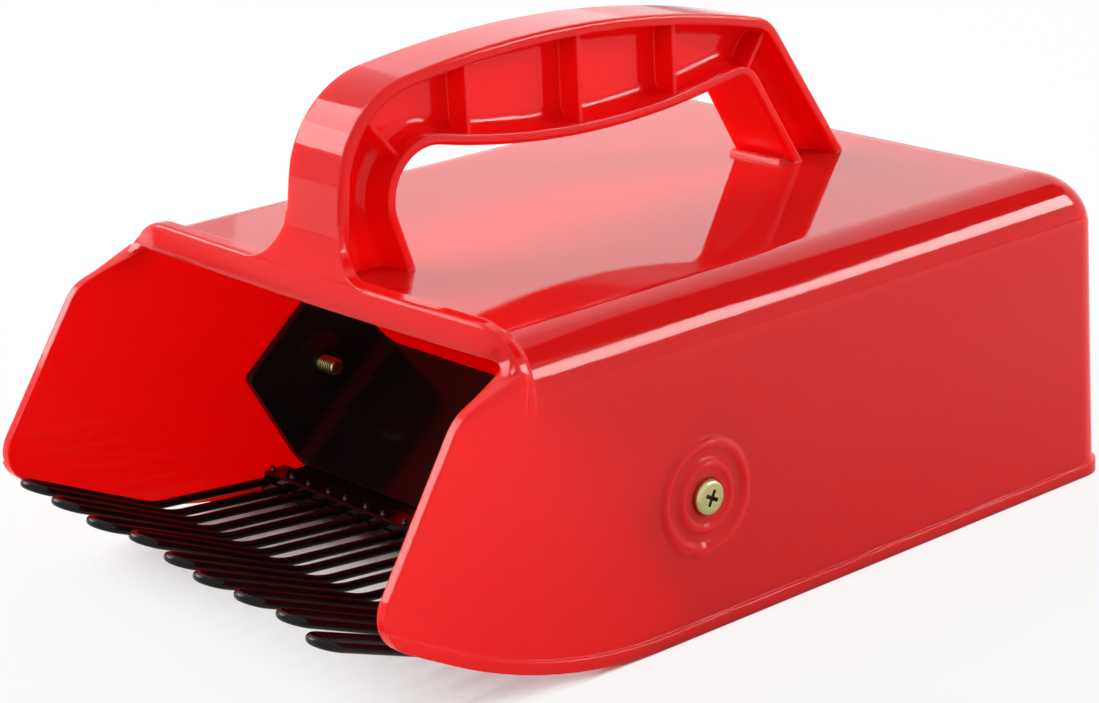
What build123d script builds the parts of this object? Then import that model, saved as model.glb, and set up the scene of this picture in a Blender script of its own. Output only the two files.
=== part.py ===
from build123d import *
import math
import os

os.makedirs("parts", exist_ok=True)

# Lengths are millimetres. X runs across, Y from the mouth to the back, Z up from the floor.
# Every place is measured from the middle of the mouth's front edge, then moved to the frame at the end.

# Box of the body
ROOF_HEIGHT = 75.0
ROOF_WIDTH = 140.0
BODY_LENGTH = 184.5
DRAFT_ANGLE = 1.2
WALL = 2.4
ROOF_ROUND = 13.0
BACK_ROUND = 8.0

# Cheeks, seen from the side
CHEEK_REACH = 39.3
ROCKER_START = 39.0
ROCKER_RADIUS = 125.0
ROCKER_ANGLE = 28.5
FRONT_LEAN = 33.2
KINK_DROP = 10.8
KINK_ROUND = 10.0
NOSE_ROUND = 8.0
SHOULDER_ANGLE = 19.8
ROOF_START = 3.0
SHOULDER_ROUND = 6.0
SHOULDER_INSET = 0.4

# Rim bead along the lower edge
RIM_HEIGHT = 2.8
RIM_PROUD = 0.9

# Collar round the mouth
COLLAR_RISE = 2.8
COLLAR_PROUD = 3.0
COLLAR_DEPTH = 8.6
COLLAR_LENGTH = 15.0
COLLAR_ROUND = 15.0
COLLAR_FACE = 5.6
COLLAR_FACE_SLOPE = 1.3
COLLAR_BACK_FALL = 2.4
COLLAR_BACK_SLOPE = 3.2
COLLAR_EDGE_ROUND = 1.2
MOUTH_DROP = 1.2
MOUTH_ROUND = 6.5
MOUTH_BOW = 1.5
BAND_WIDTH = 9.0
BAND_EDGE_ROUND = 1.6
BAND_SINK = 0.1

# Grip, seen from the side
GRIP_WIDTH = 17.8
GRIP_DRAFT_ANGLE = 1.4
CROWN_RISE = 45.5
CROWN_PLACE = 66.7
CROWN_RADIUS = 272.0
FRONT_LEG_FOOT = 2.9
FRONT_LEG_LEAN = 7.4
FRONT_CORNER_ROUND = 24.0
REAR_LEG_FOOT = 159.8
REAR_LEG_LEAN = 32.9
REAR_CORNER_ROUND = 10.0
HOLE_FRONT_FOOT = 24.8
HOLE_FRONT_LEAN = 17.5
HOLE_FRONT_ROUND = 11.0
HOLE_REAR_FOOT = 142.0
HOLE_REAR_LEAN = 31.0
HOLE_REAR_ROUND = 5.0
GRIP_DEPTH = 25.4
BELLY_PLACE = 82.0
BELLY_RADIUS = 210.0
FLANGE = 2.5
WEB = 3.0
RIB = 1.0
RIB_SINK = 1.2
RIB_PLACES = (43.0, 75.8, 105.3)
CORNER_RIBS = ((18.8, 15.4, -51.0), (131.2, 17.2, 53.5))
CORNER_RIB_LENGTH = 30.0
GRIP_EDGE_ROUND = 1.0
CHANNEL_ROUND = 3.4
CHANNEL_FLOOR_ROUND = 3.2
FLARE_ROUND = 11.0
FLARE_SINK = 2.0
FLARE_TOUCH = 0.15
FOOT_BLEND = 8.0
TOE_PLACE = 139.8
TOE_RADIUS = 1.5
TOE_LENGTH = 17.0

# Pivot of the flap
PIVOT_Y = 51.3
PIVOT_Z = 30.4
SCREW_RADIUS = 2.0
SCREW_LENGTH = 13.0
SCREW_HEAD_RADIUS = 4.0
SCREW_HEAD_HEIGHT = 1.6
SCREW_HEAD_ROUND = 1.0
SCREW_POINT = 0.4
RECESS_SPAN = 3.8
RECESS_WIDTH = 0.9
RECESS_DEPTH = 1.1
RECESS_TURN = 62.0
RING_RADII = (11.8, 7.1)
RING_WIDTH = 3.0
RING_FLAT = 0.9
RING_RISE = 0.9
PAD_RISE = 0.4
SPACER_RADIUS = 6.0
SEAT_RADIUS = 4.3

# Flap, in its own directions: along the plate and away from it
FLAP_TILT = 39.5
FLAP_THICK = 2.2
FLAP_FRONT = 21.5
FLAP_REAR = 17.0
FLAP_DROP = 13.9
EAR_RISE = 14.1
EAR_TOP_FRONT = 16.3
EAR_TOP_ROUND = 2.0
EAR_REAR_ROUND = 4.0
FOLD_ROUND = 4.0
EAR_BOSS_RADIUS = 7.5
EAR_BOSS_TOP_RADIUS = 3.4
EAR_BOSS_HEIGHT = 0.8

# Floor of the box
PLATE_THICK = 2.0
PLATE_LIFT = 0.7
PLATE_SETBACK = 4.0
LEDGE_WIDTH = 1.2
LEDGE_HEIGHT = 1.2
LEDGE_GAP = 4.0
NIB_LENGTH = 10.0
NIB_REACH = 0.6
NIB_LIFT = 0.1
NIB_SHARES = (0.45, 0.65, 0.85)

# Comb
TINE_RADIUS = 1.05
TINE_SPREAD = 8.0
TINE_REACHES = (38.5, 39.4, 39.6, 38.1, 38.9, 41.4, 41.3, 41.3, 44.7)
TINE_RISE_ANGLES = (25.0, 24.2, 23.1, 23.9, 22.5, 21.9, 21.9, 21.9, 20.5)
TINE_REAR_RISE = 5.0
TINE_STRAIGHT = 1.2
TINE_BEND_PLACE = -2.4
TINE_BEND_RADIUS = 20.0
TINE_TAIL = 36.6
LOWER_STRIP_THICK = 2.8
LOWER_STRIP_FRONT = 30.2
STRIP_END_GAP = 5.06
TINE_END_GAP = 5.72
CLAMP_THICK = 2.3
CLAMP_DEPTH = 6.4
CLAMP_SETBACK = 0.6
CLAMP_EDGE_ROUND = 0.5

# Clearances
RUNNING_FIT = 0.08
FIXED_FIT = 0.05
SIDE_GAP = 0.3
EAR_GAP = 0.55
PLATE_GAP = 0.2

# Places that follow from the sizes above
DRAFT = math.tan(math.radians(DRAFT_ANGLE))
TINE_COUNT = len(TINE_REACHES)
FRONT_LIMIT = -60.0
BEYOND = 30.0
KINK_HEIGHT = ROOF_HEIGHT - KINK_DROP
COLLAR_FOOT = ROOF_HEIGHT - COLLAR_LENGTH
CROWN_HEIGHT = ROOF_HEIGHT + CROWN_RISE
BELLY_HEIGHT = CROWN_HEIGHT - GRIP_DEPTH
PLATE_TOP = PLATE_LIFT + PLATE_THICK
TINE_Z = PLATE_TOP + LOWER_STRIP_THICK
CLAMP_TOP = TINE_Z + CLAMP_THICK
TILT = math.radians(FLAP_TILT)
FLAP_SWING = math.hypot(FLAP_FRONT, FLAP_DROP + FLAP_THICK)
EAR_OUTER = ROOF_WIDTH / 2 + DRAFT * (ROOF_HEIGHT - PIVOT_Z - FLAP_SWING) - WALL - EAR_GAP
EAR_INNER = EAR_OUTER - FLAP_THICK
STRIP_LENGTH = ROOF_WIDTH + 2 * (DRAFT * (ROOF_HEIGHT - TINE_Z) - WALL - STRIP_END_GAP)
TINE_PITCH = (STRIP_LENGTH - 2 * TINE_END_GAP) / (TINE_COUNT - 1)


def half_width(height):
    """Half the outer width of the box at a height."""
    return ROOF_WIDTH / 2 + DRAFT * (ROOF_HEIGHT - height)


def back_place(height):
    """Outer face of the back wall at a height."""
    return BODY_LENGTH + DRAFT * (ROOF_HEIGHT - height)


def across_x(sketch, x_from, x_to):
    """Solid of a side view (Y, Z) between two places across."""
    return extrude(Plane.YZ.offset(x_from) * sketch, amount=x_to - x_from)


def across_y(sketch, y_from, y_to):
    """Solid of a front view (X, Z) between two places along."""
    return extrude(Plane.XZ.offset(-y_from) * sketch, amount=-(y_to - y_from))


def both_sides(solid):
    """A solid and its mirror image on the other side."""
    return solid + mirror(solid, about=Plane.YZ)


def drafted_block(inset, top, roof_round, back_round):
    """Box with drafted sides, a rounded roof and rounded back corners, a margin inside the outer faces."""
    low = -BEYOND
    half = half_width(low) - inset
    back = back_place(low) - inset
    plan = Pos(0, (back + FRONT_LIMIT) / 2) * Rectangle(2 * half, back - FRONT_LIMIT)
    block = Pos(0, 0, low) * extrude(plan, amount=top - low, taper=DRAFT_ANGLE)
    upright = [e for e in block.edges() if e.center().Y > back - 10 and abs(e.center().X) > half - 10]
    upright = [e for e in upright if e.center().Z < top - 1 and e.center().Z > low + 1]
    block = fillet(upright, back_round)
    if roof_round > 0:
        rim = [e for e in block.edges() if e.center().Z > top - 0.01 and e.center().Y > FRONT_LIMIT + 10]
        block = fillet(rim, roof_round)
    return block


def belly_line(lift):
    """Lower edge of the cheeks from the back to the nose, raised square to itself."""
    flat = Line((BODY_LENGTH + BEYOND, lift), (ROCKER_START, lift))
    rocker = JernArc(
        start=(ROCKER_START, lift),
        tangent=(-1, 0),
        radius=ROCKER_RADIUS - lift,
        arc_size=-ROCKER_ANGLE,
    )
    run = (CHEEK_REACH + (rocker @ 1).X) / math.cos(math.radians(ROCKER_ANGLE))
    nose = Line(rocker @ 1, rocker @ 1 + (rocker % 1) * run)
    return [flat, rocker, nose]


def kink_place():
    """Place along of the kink between the cheek's front edge and its shoulder."""
    nose = belly_line(0)[-1] @ 1
    return nose.X + (KINK_HEIGHT - nose.Y) * math.tan(math.radians(FRONT_LEAN))


def shoulder_height(place):
    """Height of the shoulder's edge at a place along."""
    return KINK_HEIGHT + (place - kink_place()) * math.tan(math.radians(SHOULDER_ANGLE))


def side_view():
    """Outline of the body seen from the side, up to the mouth's front plane."""
    lower = belly_line(0)
    nose = lower[-1] @ 1
    kink_y = kink_place()
    rest = Polyline(
        nose,
        (kink_y, KINK_HEIGHT),
        (ROOF_START, shoulder_height(ROOF_START)),
        (ROOF_START, ROOF_HEIGHT + BEYOND),
        (BODY_LENGTH + BEYOND, ROOF_HEIGHT + BEYOND),
        (BODY_LENGTH + BEYOND, 0),
    )
    face = make_face(lower + [rest])
    face = fillet(face.vertices().sort_by(Axis.X)[0], NOSE_ROUND)
    kink = [v for v in face.vertices() if abs(v.X - kink_y) < 0.01 and abs(v.Y - KINK_HEIGHT) < 0.01]
    return fillet(kink, KINK_ROUND)


def rim_view():
    """Strip of the side view that the rim bead covers."""
    low = belly_line(0)
    high = belly_line(RIM_HEIGHT)
    ends = [Line(low[-1] @ 1, high[-1] @ 1), Line(low[0] @ 0, high[0] @ 0)]
    return make_face(low + high + ends)


def grip_view(foot):
    """Outline of the grip seen from the side, without its finger hole, from a foot height up."""
    top = CROWN_HEIGHT + BEYOND
    front = FRONT_LEG_FOOT + (top - ROOF_HEIGHT) * math.tan(math.radians(FRONT_LEG_LEAN))
    crest = ROOF_HEIGHT + COLLAR_RISE
    blend_height = crest + FOOT_BLEND
    blend = FRONT_LEG_FOOT + (blend_height - ROOF_HEIGHT) * math.tan(math.radians(FRONT_LEG_LEAN))
    rear = REAR_LEG_FOOT - (top - ROOF_HEIGHT) * math.tan(math.radians(REAR_LEG_LEAN))
    rear_foot = REAR_LEG_FOOT - (foot - ROOF_HEIGHT) * math.tan(math.radians(REAR_LEG_LEAN))
    legs = make_face(
        Polyline(
            (COLLAR_FACE_SLOPE * (1 - (crest - foot) / COLLAR_FACE), foot),
            (COLLAR_FACE_SLOPE, crest),
            (blend, blend_height),
            (front, top),
            (rear, top),
            (rear_foot, foot),
            close=True,
        )
    )
    crown = Pos(CROWN_PLACE, CROWN_HEIGHT - CROWN_RADIUS) * Circle(CROWN_RADIUS)
    view = legs & crown
    corners = view.vertices().filter_by(lambda v: v.Y > BELLY_HEIGHT).sort_by(Axis.X)
    view = fillet(corners[0], FRONT_CORNER_ROUND)
    corners = view.vertices().filter_by(lambda v: v.Y > BELLY_HEIGHT).sort_by(Axis.X)
    return fillet(corners[-1], REAR_CORNER_ROUND)


def hole_view(foot):
    """Outline of the finger hole seen from the side, from a foot height up."""
    top = CROWN_HEIGHT
    front = HOLE_FRONT_FOOT - (top - ROOF_HEIGHT) * math.tan(math.radians(HOLE_FRONT_LEAN))
    front_foot = HOLE_FRONT_FOOT - (foot - ROOF_HEIGHT) * math.tan(math.radians(HOLE_FRONT_LEAN))
    rear = HOLE_REAR_FOOT - (top - ROOF_HEIGHT) * math.tan(math.radians(HOLE_REAR_LEAN))
    rear_foot = HOLE_REAR_FOOT - (foot - ROOF_HEIGHT) * math.tan(math.radians(HOLE_REAR_LEAN))
    block = make_face(Polyline((front_foot, foot), (front, top), (rear, top), (rear_foot, foot), close=True))
    belly = Pos(BELLY_PLACE, BELLY_HEIGHT + BELLY_RADIUS) * Circle(BELLY_RADIUS)
    view = block - belly
    corners = view.vertices().filter_by(lambda v: v.Y > foot + 1).sort_by(Axis.X)
    view = fillet(corners[0], HOLE_FRONT_ROUND)
    corners = view.vertices().filter_by(lambda v: v.Y > foot + 1).sort_by(Axis.X)
    return fillet(corners[-1], HOLE_REAR_ROUND)


def collar_half(height):
    """Half the width of the collar at a height: flush with the box at its foot, proud of it at the roof."""
    foot = half_width(COLLAR_FOOT)
    spread = ROOF_WIDTH / 2 + COLLAR_PROUD - foot
    return foot + spread * (height - COLLAR_FOOT) / (COLLAR_LENGTH + COLLAR_RISE)


def collar_view():
    """Outer outline of the collar seen from the front."""
    low = COLLAR_FOOT - BEYOND
    top = ROOF_HEIGHT + COLLAR_RISE
    half_low = collar_half(low)
    half_top = collar_half(top)
    outline = Polyline((-half_low, low), (-half_top, top), (half_top, top), (half_low, low), close=True)
    face = make_face(outline)
    return fillet(face.vertices().group_by(Axis.Y)[-1], COLLAR_ROUND)


def mouth_view():
    """Outline of the mouth seen from the front, flush with the inside of the walls."""
    low = COLLAR_FOOT - 2 * BEYOND
    top = ROOF_HEIGHT - WALL - MOUTH_DROP
    half_top = half_width(top) - WALL
    half_low = half_width(low) - WALL
    outline = Polyline((-half_low, low), (-half_top, top), (half_top, top), (half_low, low), close=True)
    face = make_face(outline)
    return fillet(face.vertices().group_by(Axis.Y)[-1], MOUTH_ROUND)


def bow_radius():
    """Radius of the mouth's bow seen from above."""
    return (ROOF_WIDTH ** 2 / 4 + MOUTH_BOW ** 2) / (2 * MOUTH_BOW)


def make_collar():
    """Raised frame round the mouth: bowed front, face sloping back, and a slope down to the roof behind."""
    frame = across_y(collar_view(), -BEYOND, COLLAR_DEPTH)
    frame = frame & Pos(0, bow_radius(), ROOF_HEIGHT) * Cylinder(bow_radius(), 4 * BEYOND + ROOF_HEIGHT)
    front = frame.faces().sort_by(Axis.Y)[0]
    frame = chamfer(outline_edges(front), COLLAR_FACE, COLLAR_FACE_SLOPE, reference=front)
    back = frame.faces().sort_by(Axis.Y)[-1]
    frame = chamfer(outline_edges(back), COLLAR_BACK_FALL, COLLAR_BACK_SLOPE, reference=back)
    outer = [f for f in frame.faces() if abs(f.normal_at().Y) < 0.01]
    outer = [f for f in outer if f.center().Z > COLLAR_FOOT - BEYOND + 1]
    crest = [e for f in outer for e in f.edges() if e.center().Y < COLLAR_FACE_SLOPE + MOUTH_BOW + 0.3]
    frame = fillet(crest, COLLAR_EDGE_ROUND)
    above = Pos(0, 0, COLLAR_FOOT + ROOF_HEIGHT) * Box(2 * ROOF_WIDTH, 2 * ROOF_WIDTH, 2 * ROOF_HEIGHT)
    return (frame & above) - across_y(mouth_view(), -BEYOND, BEYOND)


def make_shoulder_fillets():
    """Hollow rounding between the collar's front and the shoulders of the cheeks."""
    slope = math.radians(SHOULDER_ANGLE)
    place = COLLAR_FACE_SLOPE + MOUTH_BOW
    height = shoulder_height(place)
    rise = SHOULDER_ROUND * (1 - math.sin(slope)) / math.cos(slope)
    run = SHOULDER_ROUND * math.cos(slope) - rise * math.sin(slope)
    centre = (place - SHOULDER_ROUND, height + rise)
    corner = make_face(
        Polyline(
            (COLLAR_DEPTH / 2, height - rise),
            (COLLAR_DEPTH / 2, height + rise),
            (place, height + rise),
            centre,
            (place - run * math.cos(slope), height - run * math.sin(slope)),
            (place - run * math.cos(slope), height - run * math.sin(slope) - WALL),
            close=True,
        )
    )
    corner = corner - Pos(*centre) * Circle(SHOULDER_ROUND)
    frame = across_y(offset(collar_view(), amount=-SHOULDER_INSET) - mouth_view(), -BEYOND, COLLAR_DEPTH)
    return frame & across_x(corner, -ROOF_WIDTH, ROOF_WIDTH)


def outline_edges(face):
    """Edges of a collar face except its lower one."""
    return [e for e in face.edges() if e.center().Z > COLLAR_FOOT - BEYOND + 1]


def make_band():
    """Flared upper edge of the shoulders, flush with the collar and running out at the kink."""
    kink = kink_place()
    shoulder = shoulder_height(ROOF_START)
    collar_end = (ROOF_START, shoulder, collar_half(shoulder), COLLAR_FOOT)
    kink_end = (kink, KINK_HEIGHT, half_width(KINK_HEIGHT) + BAND_SINK / 2, KINK_HEIGHT - BAND_WIDTH)
    sections = []
    for place, top, top_half, low in (collar_end, kink_end):
        low_half = half_width(low) - BAND_SINK
        outline = Polyline(
            (low_half - ROOF_ROUND, top),
            (top_half, top),
            (low_half, low),
            (low_half - ROOF_ROUND, low),
            close=True,
        )
        sections.append(Plane.XZ.offset(-place) * make_face(outline))
    band = loft(sections, ruled=True)
    halfway = (ROOF_START + kink) / 2
    inside = half_width(KINK_HEIGHT) - ROOF_ROUND / 2
    edge = [e for e in band.edges() if abs(e.center().Y - halfway) < 0.1 and e.center().X > inside]
    upper = max(edge, key=lambda e: e.center().Z)
    return both_sides(fillet(upper, BAND_EDGE_ROUND) & trim)


def grip_half(height):
    """Half the width of the grip at a height, from its draft."""
    return GRIP_WIDTH / 2 + (CROWN_HEIGHT - height) * math.tan(math.radians(GRIP_DRAFT_ANGLE))


def grip_section():
    """Front view of the grip's drafted sides."""
    low = ROOF_HEIGHT - BEYOND
    high = CROWN_HEIGHT + BEYOND
    return make_face(
        Polyline(
            (-grip_half(low), low),
            (-grip_half(high), high),
            (grip_half(high), high),
            (grip_half(low), low),
            close=True,
        )
    )


def channel_view():
    """Outline of the channel along each side of the grip, which runs out at both feet."""
    foot = ROOF_HEIGHT - 2 * FLANGE - CHANNEL_ROUND
    region = offset(grip_view(foot), amount=-FLANGE) - offset(hole_view(foot - FLANGE), amount=FLANGE)
    shrunk = [offset(face, amount=-CHANNEL_ROUND) for face in region.faces()]
    return [offset(face, amount=CHANNEL_ROUND, kind=Kind.ARC) for face in shrunk]


def make_ribs(channel):
    """Thin ribs across the channels, a little below the faces of the flanges."""
    bars = [Pos(place, CROWN_HEIGHT) * Rectangle(RIB, 2 * BEYOND) for place in RIB_PLACES]
    for place, drop, angle in CORNER_RIBS:
        bars.append(Pos(place, CROWN_HEIGHT - drop) * Rot(0, 0, angle) * Rectangle(CORNER_RIB_LENGTH, RIB))
    reach = GRIP_WIDTH / 2 - RIB_SINK
    room = offset(channel, amount=FLANGE / 2)
    return [across_x(room & bar, -reach, reach) for bar in bars]


def make_grip():
    """Grip of I section with its finger hole, the channel on both sides and the ribs across it."""
    view = grip_view(ROOF_HEIGHT - WALL / 2)
    hole = hole_view(ROOF_HEIGHT - WALL)
    slab = across_x(view - hole, -ROOF_WIDTH / 2, ROOF_WIDTH / 2)
    grip = slab & across_y(grip_section(), -BEYOND, BODY_LENGTH + BEYOND)
    sides = [f for f in grip.faces() if abs(f.normal_at().X) > 0.9]
    edges = [e for f in sides for e in f.edges() if e.center().Z > ROOF_HEIGHT]
    grip = (fillet(edges, GRIP_EDGE_ROUND) + make_flare(view - hole)) & collar_front()
    for channel in channel_view():
        trough = across_x(channel, WEB / 2, grip_half(ROOF_HEIGHT) + FLARE_ROUND)
        floor_edges = [e for e in trough.edges() if abs(e.center().X - WEB / 2) < 0.01]
        grip = grip - both_sides(fillet(floor_edges, CHANNEL_FLOOR_ROUND))
        grip = grip + make_ribs(channel)
    return grip


def collar_front():
    """Everything behind the collar's sloping, bowed front, so that the grip's front leg is flush with it."""
    slope = math.degrees(math.atan2(COLLAR_FACE_SLOPE, COLLAR_FACE))
    foot = ROOF_HEIGHT + COLLAR_RISE - COLLAR_FACE
    length = 4 * (CROWN_HEIGHT + BEYOND)
    return Pos(0, 0, foot) * Rot(-slope, 0, 0) * Pos(0, bow_radius(), 0) * Cylinder(bow_radius(), length)


def make_flare(view):
    """Concave spread of the front leg's foot onto the collar."""
    floor = ROOF_HEIGHT + COLLAR_RISE
    spread = grip_half(floor + FLARE_ROUND) + FLARE_ROUND
    height = FLARE_ROUND + 2 * FLARE_SINK
    outline = Pos(0, floor + FLARE_ROUND - height / 2) * Rectangle(2 * spread, height)
    for side in (-1, 1):
        outline = outline - Pos(side * spread, floor + FLARE_ROUND - FLARE_TOUCH) * Circle(FLARE_ROUND)
    flare = across_y(outline, -BEYOND, COLLAR_DEPTH - COLLAR_BACK_SLOPE)
    return flare & across_x(view, -spread, spread)


def along_x(radius, x_from, x_to):
    """Round bar along X on the pivot's axis."""
    middle = (x_from + x_to) / 2
    return Pos(middle, PIVOT_Y, PIVOT_Z) * Rot(0, 90, 0) * Cylinder(radius, abs(x_to - x_from))


def make_rings():
    """Ring beads round a pivot and the pad inside them, standing on the plane X = 0."""
    sunk = -WALL / 2
    length = PAD_RISE - sunk
    rings = Pos(sunk + length / 2, 0, 0) * Rot(0, 90, 0) * Cylinder(min(RING_RADII), length)
    for radius in RING_RADII:
        bead = Polyline(
            (sunk, radius - RING_WIDTH / 2),
            (0, radius - RING_WIDTH / 2),
            (RING_RISE, radius - RING_FLAT / 2),
            (RING_RISE, radius + RING_FLAT / 2),
            (0, radius + RING_WIDTH / 2),
            (sunk, radius + RING_WIDTH / 2),
            close=True,
        )
        rings = rings + revolve(make_face(bead), axis=Axis.X)
    return rings


def make_body():
    """The whole red moulding."""
    inner = drafted_block(WALL, ROOF_HEIGHT - WALL, ROOF_ROUND - WALL, BACK_ROUND - WALL)
    shell = (drafted_block(0, ROOF_HEIGHT, ROOF_ROUND, BACK_ROUND) - inner) & trim
    rim = drafted_block(-RIM_PROUD, ROOF_HEIGHT, 0, BACK_ROUND + RIM_PROUD) - inner
    rim = rim & across_x(rim_view(), -ROOF_WIDTH, ROOF_WIDTH) & trim
    toe = Pos(0, TOE_PLACE, ROOF_HEIGHT) * Rot(0, 90, 0) * Cylinder(TOE_RADIUS, TOE_LENGTH)
    collar = make_collar() + make_shoulder_fillets()
    body = shell + rim + collar + (make_band() - inner) + make_grip() + toe

    surface = half_width(PIVOT_Z)
    body = body + both_sides(Pos(surface, PIVOT_Y, PIVOT_Z) * Rot(0, -DRAFT_ANGLE, 0) * make_rings())
    body = body + both_sides(along_x(SPACER_RADIUS, EAR_OUTER + SIDE_GAP, surface - WALL / 2))
    body = body - both_sides(along_x(SEAT_RADIUS, surface, surface + 2 * RING_RISE))
    body = body - both_sides(along_x(SCREW_RADIUS + RUNNING_FIT, EAR_INNER, surface + 1))

    ledge = drafted_block(WALL / 2, ROOF_HEIGHT, 0, BACK_ROUND - WALL / 2)
    ledge = ledge - drafted_block(WALL + LEDGE_WIDTH, ROOF_HEIGHT, 0, BACK_ROUND - WALL - LEDGE_WIDTH)
    start = PIVOT_Y + FLAP_SWING + LEDGE_GAP
    slab = Pos(0, start + BODY_LENGTH / 2, PLATE_TOP + LEDGE_HEIGHT / 2)
    body = body + (ledge & slab * Box(2 * ROOF_WIDTH, BODY_LENGTH, LEDGE_HEIGHT))
    nib_height = PLATE_LIFT - NIB_LIFT
    nib = Box(2 * NIB_REACH, NIB_LENGTH, nib_height)
    inside = half_width(PLATE_LIFT) - WALL
    for share in NIB_SHARES:
        place = Pos(inside, BODY_LENGTH * share, PLATE_LIFT - nib_height / 2)
        body = body + both_sides(place * nib)
    back_nib = Pos(ROOF_WIDTH / 4, back_place(0) - WALL, PLATE_LIFT - nib_height / 2)
    return body + both_sides(back_nib * Box(NIB_LENGTH, 2 * NIB_REACH, nib_height))


def make_plate():
    """Floor of the box."""
    half = half_width(PLATE_TOP) - WALL - PLATE_GAP
    back = back_place(PLATE_TOP) - WALL - PLATE_GAP
    front = LOWER_STRIP_FRONT + PLATE_SETBACK
    plan = Pos(0, (front + back) / 2) * Rectangle(2 * half, back - front)
    plan = fillet(plan.vertices().group_by(Axis.Y)[-1], BACK_ROUND - WALL - PLATE_GAP)
    return Pos(0, 0, PLATE_LIFT) * extrude(plan, amount=PLATE_THICK)


def tine_places():
    """Places across of the tines, from left to right."""
    first = -TINE_PITCH * (TINE_COUNT - 1) / 2
    return [first + TINE_PITCH * number for number in range(TINE_COUNT)]


def tine_grooves():
    """Round grooves for the straight ends of both legs of every tine."""
    start = LOWER_STRIP_FRONT - 1
    length = TINE_TAIL + FIXED_FIT - start
    bores = [
        Pos(place + side, start + length / 2, TINE_Z) * Rot(90, 0, 0) * Cylinder(TINE_RADIUS + FIXED_FIT, length)
        for place in tine_places()
        for side in (-TINE_SPREAD / 2, TINE_SPREAD / 2)
    ]
    return Part() + bores


def make_lower_strip():
    """Lower bar of the comb, grooved for the tines."""
    depth = lower_strip_rear() - LOWER_STRIP_FRONT
    place = Pos(0, LOWER_STRIP_FRONT + depth / 2, PLATE_TOP + LOWER_STRIP_THICK / 2)
    return place * Box(STRIP_LENGTH, depth, LOWER_STRIP_THICK) - tine_grooves()


def lower_strip_rear():
    """Rear face of the lower bar, a side gap in front of the flap's lower edge."""
    upper = flap_point(-FLAP_FRONT, -FLAP_DROP)
    under = flap_point(-FLAP_FRONT, -FLAP_DROP - FLAP_THICK)
    share = (upper[1] - TINE_Z) / (upper[1] - under[1])
    share = min(1.0, max(0.0, share))
    return upper[0] + share * (under[0] - upper[0]) - SIDE_GAP


def make_clamp():
    """Upper bar of the comb with an eased top edge."""
    front = LOWER_STRIP_FRONT + CLAMP_SETBACK
    place = Pos(0, front + CLAMP_DEPTH / 2, TINE_Z + CLAMP_THICK / 2)
    strip = place * Box(STRIP_LENGTH - 2 * CLAMP_SETBACK, CLAMP_DEPTH, CLAMP_THICK)
    strip = fillet(strip.faces().sort_by(Axis.Z)[-1].edges(), CLAMP_EDGE_ROUND)
    return strip - tine_grooves()


def make_tine(place, reach, rise_angle):
    """One hairpin of wire: two bent legs joined by a half ring at the tip."""
    angle = math.radians(rise_angle)
    half = TINE_SPREAD / 2
    rear_start = LOWER_STRIP_FRONT - TINE_STRAIGHT
    bend_z = TINE_Z + (rear_start - TINE_BEND_PLACE) * math.tan(math.radians(TINE_REAR_RISE))
    tip_y = TINE_RADIUS + half * math.cos(angle) - reach
    tip_z = bend_z + (TINE_BEND_PLACE - tip_y) * math.tan(angle)
    corners = [(TINE_TAIL, TINE_Z), (rear_start, TINE_Z), (TINE_BEND_PLACE, bend_z), (tip_y, tip_z)]
    leg_line = FilletPolyline(*corners, radius=TINE_BEND_RADIUS)
    legs = []
    for leg_x in (place - half, place + half):
        section = Plane(origin=(leg_x, TINE_TAIL, TINE_Z), z_dir=(0, -1, 0)) * Circle(TINE_RADIUS)
        legs.append(sweep(section, path=Plane.YZ.offset(leg_x) * leg_line))
    ahead = (0, -math.cos(angle), math.sin(angle))
    ring_section = Plane(origin=(place + half, tip_y, tip_z), z_dir=ahead) * Circle(TINE_RADIUS)
    ring_axis = Axis((place, tip_y, tip_z), (0, -math.sin(angle), -math.cos(angle)))
    return legs[0] + legs[1] + revolve(ring_section, axis=ring_axis, revolution_arc=180)


def flap_point(along, away):
    """Side-view place (Y, Z) of a point given in the flap's own directions."""
    y = PIVOT_Y + along * math.cos(TILT) - away * math.sin(TILT)
    z = PIVOT_Z + along * math.sin(TILT) + away * math.cos(TILT)
    return y, z


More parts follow.
